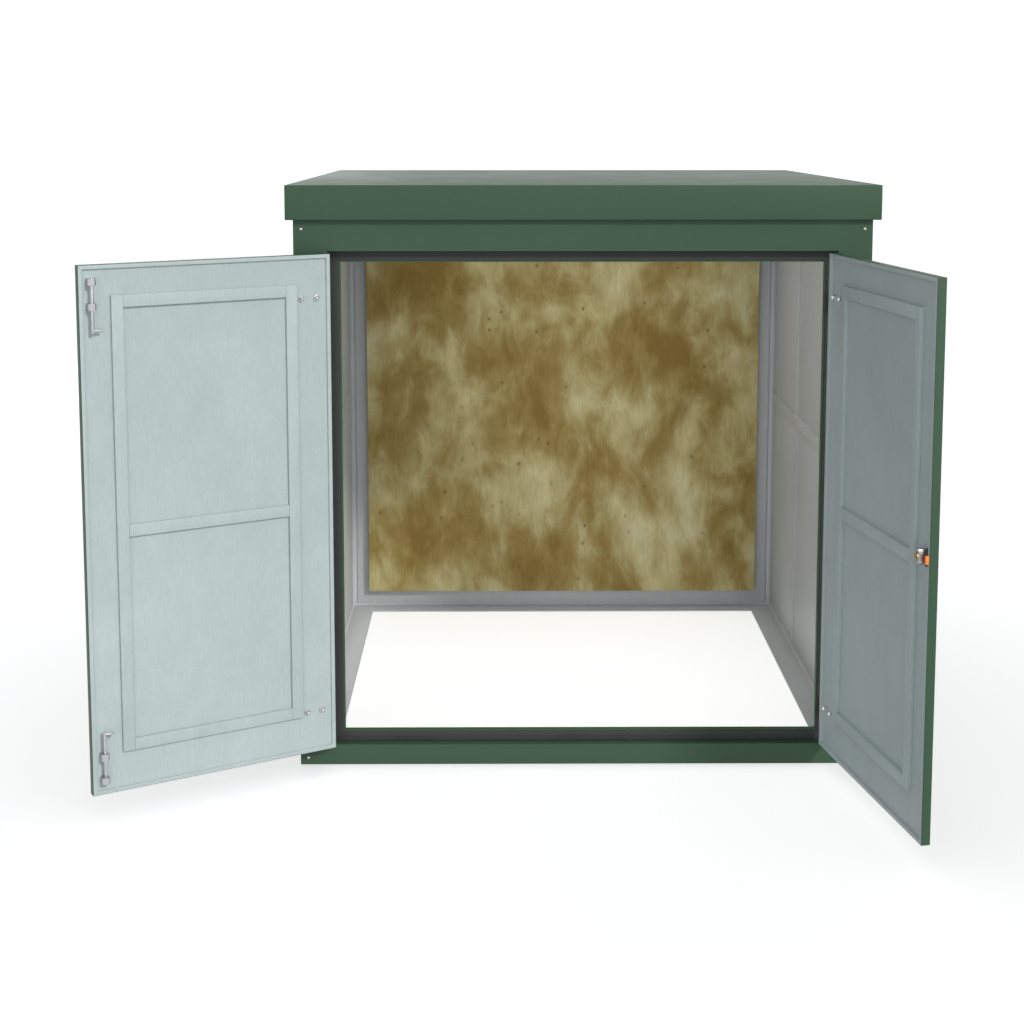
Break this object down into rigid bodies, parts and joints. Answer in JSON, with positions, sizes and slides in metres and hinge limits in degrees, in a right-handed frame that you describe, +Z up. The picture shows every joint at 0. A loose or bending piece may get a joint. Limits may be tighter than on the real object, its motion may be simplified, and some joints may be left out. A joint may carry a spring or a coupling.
{
  "type": "walk-in fibreglass equipment enclosure",
  "caption": "Square walk-in enclosure of fibreglass panels with a flat roof cap, an open base, a plywood backboard and outward-opening double doors.",
  "frame": {"origin": "on the ground, at the centre of the walls' footprint", "axes": "+X to the right seen from the front, +Y from the doors to the back wall, +Z up"},
  "size_m": [2.6828, 2.9051, 2.069],
  "materials": {
    "green_shell": "satin gel coat on fibreglass",
    "grey_lining": "satin grey gel coat",
    "door_grey": "pale grey top coat over a fine vertical glass grain",
    "seal": "matt black closed-cell rubber",
    "plywood": "bare plywood with small knots",
    "batten": "bare softwood",
    "steel": "satin stainless steel",
    "lock_plate": "light grey paint",
    "brass": "dull brass",
    "black_plastic": "matt black",
    "orange_plastic": "bright orange"
  },
  "bodies": {
    "enclosure": {"front_header": "green_shell", "left_jamb": "green_shell", "right_jamb": "green_shell", "front_sill": "green_shell", "stop_head": "green_shell", "left_stop": "green_shell", "right_stop": "green_shell", "stop_sill": "green_shell", "head_seal": "seal", "left_seal": "seal", "right_seal": "seal", "sill_seal": "seal", "frame_screws": "steel", "left_wall": "green_shell", "right_wall": "green_shell", "back_wall": "green_shell", "left_wall_strips": "grey_lining", "right_wall_strips": "grey_lining", "back_corner_fillets": "grey_lining", "base_flange": "grey_lining", "roof_cap": "green_shell", "backboard": "plywood", "backboard_battens": "batten", "left_hinge_plates": "steel", "right_hinge_plates": "steel", "left_hinge_pins": "steel", "right_hinge_pins": "steel"},
    "left_door": {"left_door_leaf": "door_grey", "left_door_stiffener": "door_grey", "left_hinge_straps": "steel", "left_hinge_nuts": "steel", "upper_bolt_guides": "steel", "lower_bolt_guides": "steel"},
    "upper_bolt": {"upper_bolt_rod": "steel"},
    "lower_bolt": {"lower_bolt_rod": "steel"},
    "right_door": {"right_door_leaf": "door_grey", "right_door_stiffener": "door_grey", "right_hinge_straps": "steel", "right_hinge_nuts": "steel", "lock_plate": "lock_plate", "lock_case": "steel", "lock_end": "brass", "lock_strip": "black_plastic", "lock_release": "orange_plastic", "outside_lock_plate": "steel"}
  },
  "joints": [
    {"name": "left_door_hinge", "type": "hinge", "parent": "enclosure", "child": "left_door", "pos_m": [-0.8835, -1.0075, 0.957], "axis": [0, 0, -1], "range_deg": [-150, 20]},
    {"name": "right_door_hinge", "type": "hinge", "parent": "enclosure", "child": "right_door", "pos_m": [0.8835, -1.0075, 0.957], "axis": [0, 0, 1], "range_deg": [-100.5, 69.5]},
    {"name": "upper_bolt_slide", "type": "slide", "parent": "left_door", "child": "upper_bolt", "axis": [0, 0, 1], "range_m": [0, 0.058]},
    {"name": "lower_bolt_slide", "type": "slide", "parent": "left_door", "child": "lower_bolt", "axis": [0, 0, -1], "range_m": [0, 0.058]}
  ]
}
